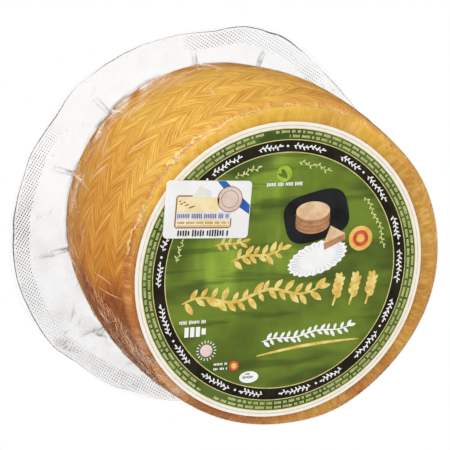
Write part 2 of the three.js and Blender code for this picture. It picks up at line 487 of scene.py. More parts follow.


# Where the rind is warmer than its even tones, or paler, and where it carries painted shade: degrees round,
# spread, and how much.
WARM_SIDES = [(65, 22, 0.5), (0, 55, 0.35)]
# Painted shade: browner high on the crushed side, for the small shadows of the crumpled film over it.
CRUMPLED_SHADE = [(203, 19, 0.6)]
WARM_RIM = [(191, 20, 1.05), (239, 14, 0.6), (14, 12, -0.3), (317, 6, 0.5), (303, 4, 0.45)]
WARM_SHOULDER = [(318, 24, 0.7)]


def rind_tone(angle, z, end):
    """How amber the rind is: 0 for gold, below it for pale yellow, and above 0.85 for brown, with painted
    shade and painted light worked into it.
    """
    # The low side is browner: partly the rind's own deeper tone, partly painted shade where least light
    # falls. It also deepens toward the foot.
    shaded_low_side = np.cos(angle - math.radians(228))
    lower = 0.36 - 0.36 * (z - WHEEL_BOTTOM) / WHEEL_HEIGHT
    amber = smoothstep(-0.1, 1.15, shaded_low_side + lower + 0.14 * waves(angle, z, 12, 9))
    amber = np.maximum(amber, 0.7 * smoothstep(28, 3, z + 3 * waves(angle, z, 9, 12)))
    amber = amber + bumps(angle, CRUMPLED_SHADE) * smoothstep(20, 45, z) + bumps(angle, WARM_SIDES)
    rim = 0.34 + 0.22 * np.cos(angle - math.radians(285)) + 0.2 * waves(angle, z, 8, 10)
    face = smoothstep(WHEEL_TOP - 1.2, WHEEL_TOP - 0.3, z)
    # Painted light: the flat face is paler toward the key light's side.
    rim = rim - 0.8 * face * smoothstep(0.1, 0.8, np.cos(angle - math.radians(112)))
    # Painted shade: the shoulder is deeper where the key light's highlight falls on it, to damp that
    # highlight.
    rim = rim + 0.6 * (1 - face) * smoothstep(0.6, 0.95, np.cos(angle - math.radians(126)))
    rim = rim + (1 - face) * bumps(angle, WARM_SHOULDER) + bumps(angle, WARM_RIM)
    return np.clip(amber * (1 - end) + rim * end, -0.6, 1.3)


def rind_lay(step, columns, radius, z):
    """Places for the straws' texture, drawn out along the ridges and moved on at each band, in metres."""
    lay = TURN * step / columns
    beyond = np.where((z > HIGH_FLANK) | (z < LOW_FLANK), radius - barrel(HIGH_FLANK), 0.0)
    reach = (WHEEL_RADIUS + 0.3 * beyond) * MM
    level = 0.08 * z + 13.0 * np.floor((WHEEL_TOP - FIRST_BAND_EDGE - z) / BAND_HEIGHT)
    return {"lay_x": reach * np.cos(lay), "lay_y": reach * np.sin(lay), "lay_z": level * MM}


def make_cheese():
    columns = RIDGES * STEPS_PER_RIDGE
    profile = [(radius, WHEEL_TOP) for radius in (30.0, 46.0, 51.0)]
    profile += shoulder_arc(HIGH_FLANK, 0, 1, 7)
    profile += [(barrel(z), z) for z in [HIGH_FLANK, *band_rows(), LOW_FLANK]]
    profile += shoulder_arc(LOW_FLANK, 0, -1, 5)[::-1]
    profile += [(radius, WHEEL_BOTTOM) for radius in (46.0, 30.0)]
    profile = np.array(profile)
    radius, z = profile[:, :1], profile[:, 1:]
    normal = slopes(profile)

    step = np.arange(columns)[None, :]
    angle = TURN * step / columns + plait_twist(z)
    relief, ridge, straw = PLAIT.at(step / STEPS_PER_RIDGE, angle, z)
    angle = angle + plait_waver(angle, z)
    rise = relief + unevenness(angle, z)
    reach = radius + rise * normal[:, :1] + out_of_round(angle, radius, z)
    reach = reach + SNUG * smoothstep(51, 55, radius)
    points = np.stack([reach * np.cos(angle), reach * np.sin(angle), z + rise * normal[:, 1:]], -1)
    points = np.vstack([points.reshape(-1, 3), [(0, 0, WHEEL_TOP), (0, 0, WHEEL_BOTTOM)]])

    end = smoothstep(HIGH_FLANK - 1, HIGH_FLANK + 3, z)
    looks = {"ridge": ridge, "straw": straw, "amber": rind_tone(angle, z, end), "grain": 0.25 + 0.75 * end}
    looks |= rind_lay(step, columns, radius, z)
    for key, values in looks.items():
        looks[key] = np.append(np.broadcast_to(values, ridge.shape), [0.5, 0.5])
    faces = ring_faces(len(profile), columns, len(points) - 2, len(points) - 1)
    make_piece("cheese", points, faces, rind_material(), looks, ["cheese_wheel"])


# The film


def rim_samples():
    """Reach and height of the trimmed rim by direction, from the backing film's outermost points."""
    corners = np.array([v.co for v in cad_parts["film_backing"].data.vertices]) / MM
    reach = np.hypot(corners[:, 0], corners[:, 1])
    outer = corners[reach > 0.5 * (PLEAT_FOOT + reach.max()) - 5.5]
    direction = np.arctan2(outer[:, 1], outer[:, 0]) % TURN
    sample = np.round(direction / TURN * RIM_SAMPLES).astype(int) % RIM_SAMPLES
    reach = np.hypot(outer[:, 0], outer[:, 1])
    reaches, heights = [], []
    for k in range(RIM_SAMPLES):
        reaches.append(reach[sample == k].max())
        heights.append(outer[(sample == k) & (reach > reaches[k] - 0.3), 2].max())
    return np.fft.rfft(reaches), np.fft.rfft(heights)


RIM_REACH, RIM_HEIGHT = rim_samples()


def round_curve(spectrum, angle):
    """A smooth closed curve through the rim's even samples, at any direction."""
    total = np.full(np.shape(angle), spectrum[0].real / RIM_SAMPLES)
    for k in range(1, RIM_HARMONICS):
        wave = spectrum[k].real * np.cos(k * angle) - spectrum[k].imag * np.sin(k * angle)
        total = total + 2 / RIM_SAMPLES * wave
    return total


# Where the cut strays from the solid's smoother rim: degrees round, spread, and millimetres outwards.
RIM_TRIMS = [(55, 14, -1.4), (74, 5, -0.5), (83, 5, 0.8), (93, 5, -0.5), (122, 12, 0.4), (147, 6, -1.1)]
RIM_TRIMS += [(161, 5, 1.0), (183, 15, -1.2), (206, 8, -2.0), (221, 6, 1.0), (248, 12, -1.1)]


def rim_reach(angle):
    """The trimmed rim with its small wavers."""
    waver = 0.22 * waves(angle, 0.0, 7, 21) + 0.07 * waves(angle, 0.0, 2, 22)
    return round_curve(RIM_REACH, angle) + waver + bumps(angle, RIM_TRIMS) - 0.25


class FilmSheet:
    """The formed web by direction and distance down from the face's centre, and what creases add to it."""

    def __init__(self):
        profile = [(radius, WHEEL_TOP + FILM_OFFSET) for radius in FACE_ROWS]
        profile += shoulder_arc(HIGH_FLANK, FILM_OFFSET, 1, SHOULDER_ROWS)
        profile += [(barrel(z) + FILM_OFFSET, z) for z in np.linspace(HIGH_FLANK, LOW_FLANK, FLANK_ROWS)]
        bend = SHOULDER + FILM_OFFSET
        for turn in (TUCK * step / TUCK_ROWS for step in range(1, TUCK_ROWS + 1)):
            out = barrel(LOW_FLANK) - SHOULDER + bend * math.cos(turn)
            profile.append((out, max(LOW_FLANK - bend * math.sin(turn), FLANGE_TOP)))
        profile.append((FLANGE_START, FLANGE_TOP))
        self.skin_rows = len(profile)
        base = np.array(profile)
        self.angle = TURN * np.arange(FILM_COLUMNS)[None, :] / FILM_COLUMNS
        shares = np.arange(1, FLANGE_ROWS + 1)[:, None] / FLANGE_ROWS
        reach = FLANGE_START + shares * (rim_reach(self.angle) - FLANGE_START)
        lift = round_curve(RIM_HEIGHT, self.angle) - 0.5
        down = base[0, 0] + np.concatenate([[0], np.cumsum(np.hypot(*np.diff(base, axis=0).T))])
        self.edge = down[-1] + PLEAT_FOOT - FLANGE_START
        normal = slopes(base)

        def sheet(skin, flange):
            """The skin's rows, the same all round, with the flange's below them."""
            return np.vstack([skin[:, None] * np.ones((1, FILM_COLUMNS)), flange])

        self.radius = sheet(base[:, 0], reach)
        self.radius[: self.skin_rows] += out_of_round(self.angle, base[:, :1], base[:, 1:])
        self.height = sheet(base[:, 1], FLANGE_TOP + lift * shares**2)
        self.down = sheet(down, self.edge + reach - PLEAT_FOOT)
        self.normal_out = sheet(normal[:, 0], np.zeros_like(reach))
        self.normal_up = sheet(normal[:, 1], np.ones_like(reach))
        self.rise, self.haze, self.shade = (np.zeros_like(self.radius) for _ in range(3))
        self.around = np.broadcast_to(self.angle, self.radius.shape)

    def noise(self, size, seed):
        return waves(self.around, self.height, size, seed)

    def cling(self):
        """Presses the film on to the ridges, so that its sheen follows them, and paints glints as a pale
        veil on some crests.
        """
        angle = self.around - plait_waver(self.around, self.height)
        turns = (angle - plait_twist(self.height)) / TURN * RIDGES
        relief, crest, tint = PLAIT.at(turns, angle, self.height)
        self.rise += 0.8 * np.maximum(relief, -0.15)
        glint = np.clip(tint - 0.6, 0, 1.2) * np.clip(waves(angle, self.height, 3.5, 25) - 0.3, 0, 1.2)
        lower = 0.25 + 0.75 * smoothstep(52, 22, self.height)
        self.haze += 0.32 * glint * smoothstep(0.5, 0.95, crest) * lower

    def crease(self, start, end, height, width, haze, bend=0.0, tip=(0.0, 0.0), shade=0.0):
        """Raises a narrow fold from start to end, given in degrees round and millimetres down.

        It is full in the middle, and tip gives the share of it left at each end. Shade darkens it."""

        def around(angle):
            return ((angle + math.pi) % TURN - math.pi) * WHEEL_RADIUS

        x = around(self.around - math.radians(start[0]))
        y = self.down - start[1]
        run = np.array([around(math.radians(end[0] - start[0])), end[1] - start[1]])
        length = math.hypot(*run)
        share = np.clip((x * run[0] + y * run[1]) / length**2, 0, 1)
        bow = bend * 4 * share * (1 - share)
        aside = x - run[0] * share + bow * run[1] / length
        beyond = y - run[1] * share - bow * run[0] / length
        across = np.hypot(aside, beyond)
        body = np.sin(math.pi * share) ** 0.7
        taper = np.maximum(body, np.where(share < 0.5, tip[0], tip[1]))
        self.rise += height * taper * np.exp(-((across / width) ** 2))
        veil = taper * np.exp(-((across / (0.8 * width)) ** 2))
        self.haze += haze * veil
        self.shade = np.maximum(self.shade, shade * veil)

    def looks(self, first, end):
        """The veil and its darkness over some of the rows."""
        return {"haze": self.haze[first:end].ravel(), "shade": self.shade[first:end].ravel()}

    def points(self):
        reach = self.radius + self.rise * self.normal_out
        height = self.height + self.rise * self.normal_up
        return np.stack([reach * np.cos(self.around), reach * np.sin(self.around), height], -1)

    def down_at(self, z):
        """Distance down the film to a height on the flank."""
        first = len(FACE_ROWS) + SHOULDER_ROWS
        flank = slice(first, first + FLANK_ROWS)
        return float(np.interp(-z, -self.height[flank, 0], self.down[flank, 0]))


# Pleats where the film gathers at the wheel's back edge: degrees round, and size.
PLEATS = [(73.6, 0.4), (98.9, 0.7), (136.7, 1.1), (163.0, 1.2), (192.2, 0.9), (226.8, 1.4)]
PLEATS += [(degrees, 0.9) for degrees in (252.0, 277.0, 304.0, 329.0, 356.0, 23.0, 48.0)]


def add_pleats(film):
    """Each pleat stands up from the flange beside the wheel, and dies away up the flank."""
    rng = np.random.default_rng(31)
    for degrees, size in PLEATS:
        lean = rng.uniform(-2.5, 2.5)
        top = film.down_at(rng.uniform(28, 40))
        foot = film.edge + rng.uniform(3.0, 5.0) * min(1.0, 0.35 + 0.65 * size)
        film.crease((degrees + lean, top), (degrees, film.edge), 0.5 * size, 0.8, 0.3, 0.6, (0, 1))
        start, end = (degrees + lean - 1.2, top + 8), (degrees - 0.4, film.edge)
        film.crease(start, end, 0.3 * size, 0.5, 0.35, -0.5, (0, 1))
        # Each pleat's two sides carry painted shade, heavier on one side.
        for side, dark in ((-0.75, 0.65), (0.75, 0.2)):
            start, end = (degrees + side, film.edge - 2), (degrees + side, foot)
            film.crease(start, end, 0.9 * size, 0.42, 0.45, 0, (1, 0.3), dark)
        film.crease((degrees - 0.8, foot), (degrees + 0.8, foot), 0.7 * size, 0.42, 0.4, 0.4, (0.7, 0.7))


def fold_ends(film, degrees, middle, length, lean):
    """A fold's ends from its middle, its length down and how far round it leans."""
    start = (degrees - lean / 2, middle - length / 2)
    return start, (degrees + lean / 2, min(middle + length / 2, film.edge))


CRUMPLED_CREASES = 220
FINE_CREASES = 110
FLANGE_DENTS = 60


def add_crumpled_side(film):
    """The low side, where the film is slack and crushed into many sharp creases."""
    rng = np.random.default_rng(33)
    for _ in range(CRUMPLED_CREASES):
        degrees = rng.triangular(196, 226, 262)
        middle = rng.uniform(film.down_at(HIGH_FLANK - 4), film.edge - 2)
        ends = fold_ends(film, degrees, middle, rng.uniform(3, 15), rng.normal(0, 6))
        haze = 0.5 * rng.uniform(0.2, 1.0) ** 1.8
        # One crease in three is a dark line of painted shade.
        shade = rng.choice([0.0, 0.0, 0.9])
        height, width = rng.uniform(0.1, 0.4), rng.uniform(0.2, 0.36)
        film.crease(*ends, height, width, haze, rng.normal(0, 1), shade=shade)


def add_fine_creases(film):
    """Short stray creases elsewhere on the flank."""
    rng = np.random.default_rng(35)
    for _ in range(FINE_CREASES):
        degrees = rng.uniform(-94, 186)
        middle = film.down_at(rng.uniform(6, 58) * rng.uniform(0.35, 1) + 2)
        ends = fold_ends(film, degrees, middle, rng.uniform(2, 9), rng.normal(0, 5))
        height, width = rng.uniform(0.05, 0.22), rng.uniform(0.3, 0.5)
        film.crease(*ends, height, width, rng.uniform(0.08, 0.35), rng.normal(0, 0.5))


# Single folds on the flange: degrees round and millimetres out at each end, and size.
FLANGE_FOLDS = [((225.6, 1), (222.2, 9), 1.0), ((230, 2.5), (224, 5), 0.9), ((216, 8), (212, 3), 0.5)]
FLANGE_FOLDS += [((193, 2), (192, 9), 0.6), ((136, 7), (134, 9), 0.5), ((247, 2), (240, 9), 0.5)]
FLANGE_FOLDS += [((74, 0), (73, 5), 0.8), ((290, 1), (283, 9), 0.8)]
FLANGE_FOLDS += [((325, 2), (321, 9), 0.7), ((8, 1), (3, 8), 0.7)]


def add_flange_folds(film):
    """Dents, soft folds and the slow buckles of the flange, some of them darkened with painted shade."""
    out = film.down - film.edge
    on_flange = smoothstep(-1.5, 2.5, out)
    film.rise += on_flange * 0.22 * waves(film.around, out, 6, 51)
    film.haze += on_flange * 0.03 * np.clip(waves(film.around, out, 4, 52), 0, 2)
    rng = np.random.default_rng(53)
    for _ in range(FLANGE_DENTS):
        degrees, at = rng.uniform(0, 360), film.edge + rng.uniform(2, 14)
        lean, length = rng.normal(0, 1.5), rng.uniform(0.5, 2.5)
        ends = ((degrees, at), (degrees + lean, at + length))
        # Half the dents are darkened with painted shade.
        film.crease(*ends, 0.25, 0.4, rng.uniform(0.05, 0.3), 0.3, (0.2, 0.2), rng.choice([0.0, 0.9]))
    for start, end, size in FLANGE_FOLDS:
        ends = [(degrees, film.edge + reach) for degrees, reach in (start, end)]
        film.crease(*ends, 0.9 * size, 0.6, 0.3 * size, 0.5, (0.5, 0.0))
        # A dark line of painted shade beside each fold.
        beside = [(degrees + 0.9, down) for degrees, down in ends]
        film.crease(*beside, 0.3 * size, 0.45, 0.4 * size, 0.5, (0.4, 0.0), 0.8)
    # Dark streaks of painted shade where the knurled rows crowd into a fold.
    for share in np.linspace(0, 1, 7):
        start = (217.0 + 2.6 * share, film.edge + 16.8 + 0.8 * share)
        end = (224.2 + 3.0 * share, film.edge + 10.2 + 2.6 * share)
        film.crease(start, end, 0.1, 0.2, 0.3, 0.2, (0.3, 0.3), 0.7)


def frost_film(film):
    """The film's haze: a frosted foot, a pale strip, wisps up the side, the flange's shaded side, and a
    dark line of painted shade at the tuck.
    """
    slack = smoothstep(0.2, 0.9, np.cos(film.around - math.radians(222))) * smoothstep(40, 8, film.height)
    wisps = np.clip(0.6 + 0.7 * film.noise(2.2, 58), 0, 2)
    low_edge = smoothstep(15, 3, film.height + 2.5 * film.noise(6, 57))
    front = smoothstep(HIGH_FLANK - 2, HIGH_FLANK + 2, film.height)
    frost = 0.16 + 0.2 * bumps(film.around, [(128, 25, 1.0)])
    veil = 0.01 + frost * low_edge * wisps + 0.01 * slack + 0.02 * front
    strip = np.exp(-(((film.height - 15.0) / 3.5) ** 2)) * np.clip(0.45 + 0.5 * film.noise(3, 62), 0, 1.3)
    veil = veil + 0.36 * strip * bumps(film.around, [(174, 24, 1.0)])
    front_wisps = bumps(film.around, [(211, 9, 0.3), (224, 7, 0.2)])
    veil = veil + wisps * front_wisps * smoothstep(56, 74, film.height)
    veil = veil + 0.26 * wisps * bumps(film.around, [(130, 24, 1.0)]) * smoothstep(40, 8, film.height)

    on_flange = smoothstep(-2.6, -1.6, film.down - film.edge)
    degrees = np.degrees(film.around)
    shaded = smoothstep(166, 192, degrees + 4 * waves(film.around, film.down, 8, 59))
    shaded = shaded * smoothstep(320, 290, degrees)
    film.haze += veil * (1 - on_flange) + on_flange * (0.025 + 0.15 * shaded)
    sealed = smoothstep(8, 5, film.radius[-1:] - film.radius) * smoothstep(205, 225, degrees) * shaded
    clouds = np.clip(waves(film.around, film.down, 5, 60), 0, 2)
    film.haze += on_flange * (0.06 * sealed + 0.07 * shaded * clouds)

    # Painted shade: a dark line where the film tucks under the wheel's back edge.
    tucked = smoothstep(LOW_FLANK, LOW_FLANK - 1.5, film.height) * (film.down < film.edge - 2.4)
    fold = tucked * np.clip(0.55 + 0.45 * waves(film.around, 0.0, 5, 56), 0.1, 1)
    film.haze += 0.34 * fold
    film.shade = np.maximum(film.shade, fold)


def make_film():
    film = FilmSheet()
    film.rise += unevenness(film.around, film.height)
    film.cling()
    for add in (add_pleats, add_crumpled_side, add_fine_creases, add_flange_folds, frost_film):
        add(film)
    film.rise = np.maximum(film.rise, -0.25)
    film.haze = np.clip(film.haze, 0, 0.85)
    film.shade = np.clip(film.shade, 0, 1)
    points = film.points()
    split = film.skin_rows // 2

    material = film_material("clear_skin", (253, 234, 208), (124, 78, 50), gloss=0.24, mirror=0.022)
    skin = points[: split + 1].reshape(-1, 3)
    faces = ring_faces(split + 1, FILM_COLUMNS, len(skin))
    looks = {key: np.append(values, 0) for key, values in film.looks(0, split + 1).items()}
    skin = np.vstack([skin, (0, 0, WHEEL_TOP + FILM_OFFSET)])
    make_piece("film_skin", skin, faces, material, looks, ["film_cup"])

    def make_part(name, first, end, material):
        part = points[first:end]
        faces = ring_faces(len(part), FILM_COLUMNS)
        make_piece(name, part.reshape(-1, 3), faces, material, film.looks(first, end))

    make_part("film_skin_low", split, film.skin_rows, material)
    material = film_material("clear_flange", (216, 215, 214), (84, 82, 82), mirror=0.02, grain=150)
    make_part("film_flange", film.skin_rows - 1, None, material)
    return film


def on_skin(film, degrees, down):
    """Places on the film's skin, between its points, and the directions that it faces there."""
    rows = np.interp(down, film.down[: film.skin_rows, 0], np.arange(film.skin_rows))
    columns = degrees / 360 * FILM_COLUMNS
    row = np.minimum(rows.astype(int), film.skin_rows - 2)
    column = np.floor(columns).astype(int)
    fall, turn = (rows - row)[:, None], (columns - column)[:, None]
    column, after = column % FILM_COLUMNS, (column + 1) % FILM_COLUMNS
    grid = film.points()
    higher = grid[row, column] * (1 - turn) + grid[row, after] * turn
    lower = grid[row + 1, column] * (1 - turn) + grid[row + 1, after] * turn
    angle = np.radians(degrees)
    out, up = film.normal_out[row, 0], film.normal_up[row, 0]
    return higher * (1 - fall) + lower * fall, np.stack([out * np.cos(angle), out * np.sin(angle), up], -1)


CREASE_STEPS = 8
CREASE_RISE = 0.35
LINE_RISE = 0.05
CREASE_LIFT = 0.02


class Creases:
    """Sharp folds of slack film: thin three-sided ridges that stand on its skin."""

    def __init__(self, film):
        self.film = film
        self.paths, self.sizes = [], []

    def add(self, degrees, down, length, slant, bend, width, haze, shade=0.0):
        """A fold by its middle, its length, and its slant up from the way round. Bend bows it."""
        share = np.linspace(0, 1, CREASE_STEPS + 1)
        along, bow = (share - 0.5) * length, bend * 4 * share * (1 - share)
        around = along * math.cos(slant) - bow * math.sin(slant)
        fall = -along * math.sin(slant) - bow * math.cos(slant)
        down = np.minimum(down + fall, self.film.edge)
        self.paths.append((degrees + np.degrees(around / WHEEL_RADIUS), down))
        self.sizes.append((width, haze, shade))

    def make(self, name, material, steepness):
        steps = CREASE_STEPS + 1
        degrees, down = (np.concatenate(part) for part in zip(*self.paths))
        centre, out = (part.reshape(-1, steps, 3) for part in on_skin(self.film, degrees, down))
        side = np.cross(out, np.gradient(centre, axis=1))
        side /= np.maximum(np.linalg.norm(side, axis=2, keepdims=True), 1e-9)
        taper = (0.1 + 0.9 * np.sin(math.pi * np.linspace(0, 1, steps)) ** 0.6)[None, :, None]
        width, haze, shade = (np.array(part)[:, None, None] for part in zip(*self.sizes))
        left = centre + side * width / 2 * taper + out * CREASE_LIFT
        right = centre - side * width / 2 * taper + out * CREASE_LIFT
        crest = centre + out * (CREASE_LIFT + steepness * width * taper)
        points = np.stack([left, right, crest], 2).reshape(-1, 3)
        faces = []
        for first in range(0, len(points), 3 * steps):
            last = first + 3 * CREASE_STEPS
            for a in range(first, last, 3):
                b = a + 3
                faces += [[a, a + 2, b + 2, b], [a + 1, b + 1, b + 2, a + 2], [a, b, b + 1, a + 1]]
            faces += [[first, first + 1, first + 2], [last, last + 2, last + 1]]
        veil = haze * taper * np.array([0.6, 0.6, 1.0])
        looks = {"haze": veil, "shade": np.broadcast_to(shade, veil.shape)}
        make_piece(name, points, faces, material, looks, smooth=False)


def face_line(film, angle):
    """How far down the film first grips the wheel's front shoulder: a wandering line."""
    line = film.down_at(HIGH_FLANK) - 3.0 + bumps(angle, [(132, 14, 1.4), (85, 18, -0.9)])
    line = line + 0.7 * waves(angle, 0.0, 9, 41) + 0.28 * waves(angle, 0.0, 2.2, 42)
    return line + 0.16 * waves(angle, 0.0, 0.9, 44)


# Degrees round at which the pale line starts and ends.
LINE_START = 64
LINE_END = 178


def make_face_line(film):
    """The pale line where the film first grips the front shoulder, as a chain of short folds whose pale
    veil also paints the line's glint.
    """
    creases = Creases(film)
    rng = np.random.default_rng(83)
    for degrees in np.arange(LINE_START, LINE_END, 1.5):
        place = np.radians(degrees + np.array([-1.0, 0.0, 1.0]))
        down = face_line(film, place)
        slant = math.atan2(down[0] - down[2], WHEEL_RADIUS * (place[2] - place[0]))
        shown = np.clip(0.62 + 0.5 * waves(place[1], 0.0, 5, 43), 0.08, 1.2)
        shown = float(shown * smoothstep(0, 12, 2 + min(degrees - LINE_START, LINE_END - degrees)))
        width = float(np.clip(0.9 + 0.5 * waves(place[1], 0.0, 2.6, 45), 0.4, 1.8))
        width += bumps(place[1], [(136, 2.5, 1.7)])
        haze = (0.46 - 0.16 * float(bumps(place[1], [(78, 14, 1.0)]))) * shown
        creases.add(degrees, down[1], 2.5, slant, rng.normal(0, 0.2), width, haze)
    material = film_material("gripped_film", (255, 228, 148), (250, 214, 130), mirror=0.02, grain=700)
    creases.make("film_face_line", material, LINE_RISE)


LOW_SIDE_FOLDS = 250
FROSTED_FOLDS = 150
STRAY_FOLDS = 130
SHOULDER_FOLDS = 12

# Single upright folds: degrees round, and the heights of their ends.
UPRIGHT_FOLDS = [(186.3, 48, 69), (189.6, 51, 77), (188.5, 6, 26)]
UPRIGHT_FOLDS += [(185.6, 12, 34), (191, 4, 14), (161, 6, 18)]


def make_creases(film):
    """The crushed low side, the frosted back edge, and single folds elsewhere."""
    creases = Creases(film)
    rng = np.random.default_rng(81)
    for _ in range(LOW_SIDE_FOLDS):
        z = 34 + 45.5 * rng.uniform(0, 1) ** 0.6
        inner = 189.5 + 0.25 * (z - 34) + 8 * smoothstep(66, 79, z)
        degrees = inner + abs(rng.normal(0, 9))
        down = film.down_at(min(z, HIGH_FLANK)) - max(0, z - HIGH_FLANK)
        slant = math.radians(rng.normal(16, 34))
        haze, width = 0.35 + 0.6 * rng.uniform(0, 1), rng.uniform(0.15, 0.34)
        length, bend = rng.uniform(1.5, 8), rng.normal(0, 0.5)
        creases.add(degrees, down, length, slant, bend, width, haze, rng.choice([0, 0, 0, 1, 1]))
    for _ in range(FROSTED_FOLDS):
        down = film.down_at(3 + 20 * rng.uniform(0, 1) ** 1.6)
        slant, haze = rng.uniform(0, math.pi), rng.uniform(0.15, 0.65)
        degrees, length = rng.normal(128, 17), rng.uniform(0.8, 4)
        creases.add(degrees, down, length, slant, rng.normal(0, 0.3), rng.uniform(0.2, 0.34), haze)
    for _ in range(STRAY_FOLDS):
        down = film.down_at(rng.uniform(3, 22))
        slant, haze = rng.uniform(0.3, 2.4), rng.uniform(0.1, 0.5)
        degrees, length = rng.uniform(88, 204), rng.uniform(0.8, 5)
        creases.add(degrees, down, length, slant, rng.normal(0, 0.3), rng.uniform(0.2, 0.34), haze)
    for degrees, low, high in UPRIGHT_FOLDS:
        middle, slant = film.down_at((low + high) / 2), math.pi / 2 + rng.normal(0, 0.1)
        creases.add(degrees, middle, high - low, slant, rng.normal(0, 0.8), 0.42, 0.6)
    for _ in range(SHOULDER_FOLDS):
        down = film.down_at(HIGH_FLANK) - rng.uniform(3.2, 6.5)
        slant, degrees, length = rng.uniform(0.2, 2.9), rng.uniform(146, 182), rng.uniform(0.8, 3.2)
        creases.add(degrees, down, length, slant, rng.normal(0, 0.5), 0.3, rng.uniform(0.3, 0.7))
    # The pale veil also paints the folds' glints, and the dark tone is painted shade.
    material = film_material("creased_film", (255, 208, 164), (112, 54, 28), mirror=0.02, grain=1400)
    creases.make("film_creases", material, CREASE_RISE)


def flange_height(film, angle, radius):
    """Height of the flange's upper side at a place, from the nearest points of its sheet."""
    column = np.round(angle / TURN * FILM_COLUMNS).astype(int) % FILM_COLUMNS
    share = (radius - FLANGE_START) / (film.radius[-1, column] - FLANGE_START)
    place = np.clip(share * FLANGE_ROWS, 0, FLANGE_ROWS - 0.001)
    row = film.skin_rows - 1 + place.astype(int)
    part = place % 1
    level = film.height + film.rise
    return level[row, column] * (1 - part) + level[row + 1, column] * part


KNURL_PITCH = 1.04
KNURL_TURN = math.radians(58)
KNURL_IN = 0.9
KNURL_OUT = 6.6
KNURL_RISE = 0.12
KNURL_FIELD = 85

# Where round the flange the marks change to the grid's other way, and between where the seal is plain.
KNURL_CHANGE = 125
PLAIN_SEAL = (math.radians(103), math.radians(149))


def make_knurl(film):
    """The heat seal's knurled marks: one square grid pressed across the flange, seen only near the rim."""
    half = int(KNURL_FIELD / KNURL_PITCH)
    row, column = np.meshgrid(np.arange(-half, half + 1), np.arange(-half, half + 1))
    x, y = row.ravel() * KNURL_PITCH, column.ravel() * KNURL_PITCH
    x, y = beside((0, 0), x, y, heading(KNURL_TURN))
    angle, radius = np.arctan2(y, x) % TURN, np.hypot(x, y)
    inward = rim_reach(angle) - radius
    plain = smoothstep(PLAIN_SEAL[0] - 0.05, PLAIN_SEAL[0] + 0.03, angle)
    plain = plain * (1 - smoothstep(PLAIN_SEAL[1] - 0.03, PLAIN_SEAL[1] + 0.06, angle))
    plain = np.maximum(plain, smoothstep(0.4, 0.5, angle) * smoothstep(0.95, 0.78, angle))
    size = (1 - plain) * smoothstep(KNURL_IN - 0.3, KNURL_IN + 0.3, inward)
    size = size * (1 - smoothstep(KNURL_OUT - 0.5, KNURL_OUT + 0.3, inward))
    size = size * np.clip(0.92 + 0.2 * waves(angle, radius, 9, 61), 0.45, 1.15)
    x, y, size, angle, radius = (values[size > 0.3] for values in (x, y, size, angle, radius))
    base = flange_height(film, angle, radius) + 0.03
    degrees = np.degrees(angle)
    bold = 0.8 + 0.28 * np.exp(-(((degrees - 190) / 26) ** 2))
    bold = bold + 0.34 * smoothstep(KNURL_CHANGE, 100, degrees) * smoothstep(30, 48, degrees)
    long, short = 0.44 * size * bold, 0.2 * size * bold
    lean = KNURL_TURN - math.pi / 2 * (degrees < KNURL_CHANGE)
    way = (np.cos(lean), np.sin(lean))
    corners = [(long, 0), (0, short), (-long, 0), (0, -short)]
    marks = [(*beside((x, y), a, b, way), base) for a, b in corners]
    marks.append((x, y, base + KNURL_RISE))
    points = np.stack([np.stack(place, -1) for place in marks], 1).reshape(-1, 3)
    faces = []
    for o in range(0, len(points), 5):
        faces += [[o, o + 1, o + 4], [o + 1, o + 2, o + 4], [o + 2, o + 3, o + 4], [o + 3, o, o + 4]]
        faces.append([o + 3, o + 2, o + 1, o])
    # The marks' grey veil is painted shade: the dark that their facets refract, heavier where they are
    # bold.
    material = film_material("pressed_seal", (84, 84, 84), (84, 84, 84), 0.3)
    haze = np.repeat(np.clip(0.72 * bold, 0, 0.85), 5)
    make_piece("seal_knurl", points, faces, material, {"haze": haze}, smooth=False)


BEAD_SIDES = 6

# Where the bead is thick: degrees round, spread, and millimetres added.
BEAD_BOLD = [(86, 12, 0.08), (68, 7, 0.12), (178, 34, 0.15)]


def make_rim_bead(film):
    """The cut rim, a bead that is thick where both webs curl together and thin elsewhere."""
    angle = film.angle[0]
    bold = 0.09 + 0.05 * waves(angle, 0.0, 5, 71)
    for centre, spread, extra in BEAD_BOLD:
        bold = bold + extra * np.exp(-(((np.degrees(angle) - centre) / spread) ** 4))
    bold = np.clip(bold, 0.04, 0.3)
    reach = film.radius[-1] - bold * 0.5
    height = film.height[-1] + film.rise[-1]
    turn = TURN * np.arange(BEAD_SIDES) / BEAD_SIDES
    radial = reach[:, None] + bold[:, None] * np.cos(turn)
    level = height[:, None] + bold[:, None] * np.sin(turn)
    points = np.stack([radial * np.cos(angle)[:, None], radial * np.sin(angle)[:, None], level], -1)
    faces = []
    for c in range(FILM_COLUMNS):
        first, after = c * BEAD_SIDES, (c + 1) % FILM_COLUMNS * BEAD_SIDES
        for s in range(BEAD_SIDES):
            t = (s + 1) % BEAD_SIDES
            faces.append([first + s, after + s, after + t, first + t])
    # The bead's grey veil is painted shade: the dark that the cut edge refracts, deeper where it is thick.
    haze = np.repeat(np.clip(0.12 + 1.7 * bold, 0, 0.85), BEAD_SIDES)
    material = film_material("cut_rim", (104, 104, 104), (104, 104, 104), 0.25)
    make_piece("film_rim", points.reshape(-1, 3), faces, material, {"haze": haze})


# Print


INK_GAP = 0.01
INK_STEP = 0.02
HAIR = 0.0013
HAIRS = 11
STROKE_HAIR = 0.0007


